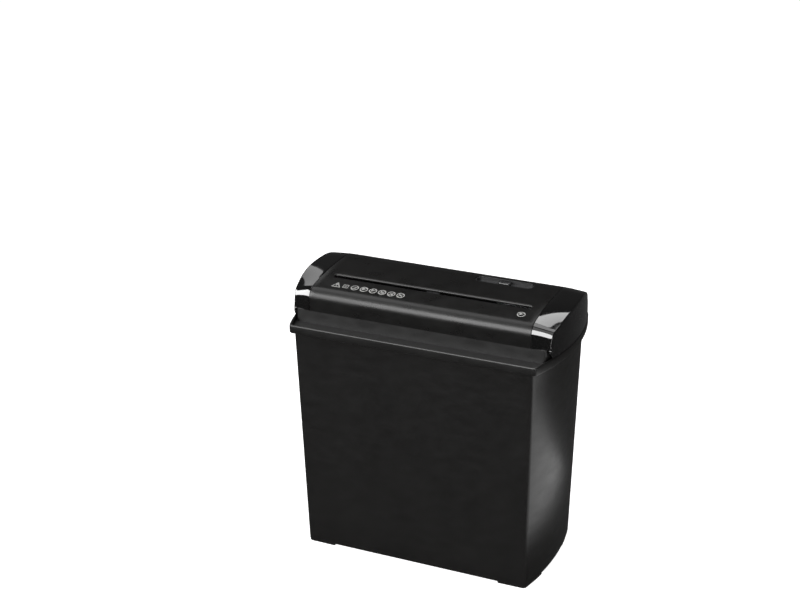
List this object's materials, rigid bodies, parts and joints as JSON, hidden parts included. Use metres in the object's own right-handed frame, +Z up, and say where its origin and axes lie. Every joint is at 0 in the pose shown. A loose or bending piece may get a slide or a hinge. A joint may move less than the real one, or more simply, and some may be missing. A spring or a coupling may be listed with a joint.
{
  "type": "paper shredder",
  "caption": "Desk-side strip-cut paper shredder: a tapered bin with bowed sides under a lift-off head with a long paper slot, cutters, gears and motor.",
  "frame": {"origin": "bottom centre of the bin's feet, under the middle of the bin", "axes": "+Z up, +X to the right along the paper slot, the front faces -Y"},
  "size_m": [0.2968, 0.1586, 0.2985],
  "materials": {
    "bin_plastic": "satin black moulded polypropylene",
    "cover_plastic": "satin black moulded ABS, fine grain",
    "cap_gloss": "high-gloss black moulded ABS",
    "tray_plastic": "satin black moulded ABS",
    "guide_plastic": "black moulded nylon",
    "comb_plastic": "dark grey moulded acetal",
    "switch_plastic": "black thermoset",
    "knob_plastic": "black moulded ABS",
    "lever_plastic": "natural acetal",
    "board_laminate": "green solder-masked laminate",
    "capacitor_case": "yellow film capacitor case",
    "plate_steel": "zinc-plated pressed steel",
    "shaft_steel": "ground bar steel",
    "cutter_steel": "hardened cutter steel, oiled",
    "spacer_plastic": "black moulded nylon",
    "bush_bronze": "sintered bronze",
    "gear_steel": "sintered steel",
    "gear_plastic": "natural acetal",
    "screw_steel": "zinc-plated steel",
    "motor_steel": "zinc-plated motor can",
    "magnet_ferrite": "sintered ferrite",
    "gland_rubber": "black rubber"
  },
  "bodies": {
    "bin": {"bin": "bin_plastic"},
    "head": {"top_cover": "cover_plastic", "left_end_cap": "cap_gloss", "right_end_cap": "cap_gloss", "lower_tray": "tray_plastic", "paper_guide": "guide_plastic", "lever_pin": "screw_steel", "paper_sensor_switch": "switch_plastic", "interlock_switch": "switch_plastic", "switch_bezel": "guide_plastic", "mode_switch": "switch_plastic", "circuit_board": "board_laminate", "board_screws": "screw_steel", "filter_capacitor": "capacitor_case", "left_side_plate": "plate_steel", "right_side_plate": "plate_steel", "tie_rods": "shaft_steel", "frame_screws": "screw_steel", "gear_pillars": "shaft_steel", "gear_plate": "plate_steel", "idler_pin": "shaft_steel", "shaft_bushes": "bush_bronze", "front_stripper_comb": "comb_plastic", "rear_stripper_comb": "comb_plastic", "motor_case": "motor_steel", "motor_end_shield": "motor_steel", "motor_screws": "screw_steel", "motor_magnets": "magnet_ferrite", "thermal_cutout": "switch_plastic", "cord_gland": "gland_rubber", "housing_screws": "screw_steel"},
    "rotor": {"motor_rotor": "shaft_steel", "motor_pinion": "gear_steel"},
    "idler": {"idler_gear": "gear_plastic"},
    "rear_cutter": {"rear_cutter_shaft": "shaft_steel", "rear_cutter_discs": "cutter_steel", "rear_spacers": "spacer_plastic", "rear_shaft_rings": "screw_steel", "rear_sync_gear": "gear_steel", "drive_gear": "gear_plastic"},
    "front_cutter": {"front_cutter_shaft": "shaft_steel", "front_cutter_discs": "cutter_steel", "front_spacers": "spacer_plastic", "front_shaft_rings": "screw_steel", "front_sync_gear": "gear_steel"},
    "mode_knob": {"mode_knob": "knob_plastic"},
    "paper_lever": {"paper_sensor_lever": "lever_plastic"},
    "plunger": {"interlock_plunger": "lever_plastic"}
  },
  "joints": [
    {"name": "head_lift", "type": "slide", "parent": "bin", "child": "head", "axis": [0, 0, 1], "range_m": [0, 0.06]},
    {"name": "rotor_spin", "type": "hinge", "parent": "head", "child": "rotor", "pos_m": [0, 0.032, 0.264], "axis": [1, 0, 0], "continuous": true},
    {"name": "idler_spin", "type": "hinge", "parent": "head", "child": "idler", "pos_m": [0, 0.01334, 0.27488], "axis": [1, 0, 0], "continuous": true},
    {"name": "rear_cutter_spin", "type": "hinge", "parent": "head", "child": "rear_cutter", "pos_m": [0, -0.009, 0.258], "axis": [1, 0, 0], "continuous": true},
    {"name": "front_cutter_spin", "type": "hinge", "parent": "head", "child": "front_cutter", "pos_m": [0, -0.035, 0.258], "axis": [1, 0, 0], "continuous": true},
    {"name": "mode_slide", "type": "slide", "parent": "head", "child": "mode_knob", "axis": [1, 0, 0], "range_m": [-0.006, 0.006]},
    {"name": "paper_lever_tilt", "type": "hinge", "parent": "head", "child": "paper_lever", "pos_m": [0, -0.013, 0.281], "axis": [1, 0, 0], "range_deg": [0, 15], "stiffness_Nm_per_rad": 0.002, "springref_deg": -11.46},
    {"name": "plunger_press", "type": "slide", "parent": "head", "child": "plunger", "axis": [0, 0, 1], "range_m": [0, 0.0025], "stiffness_N_per_m": 150, "springref_m": -0.002}
  ],
  "couplings": [
    {"joint": "idler_spin", "follows": "rotor_spin", "ratio": -0.22727},
    {"joint": "rear_cutter_spin", "follows": "rotor_spin", "ratio": 0.061983},
    {"joint": "front_cutter_spin", "follows": "rotor_spin", "ratio": -0.061983}
  ]
}
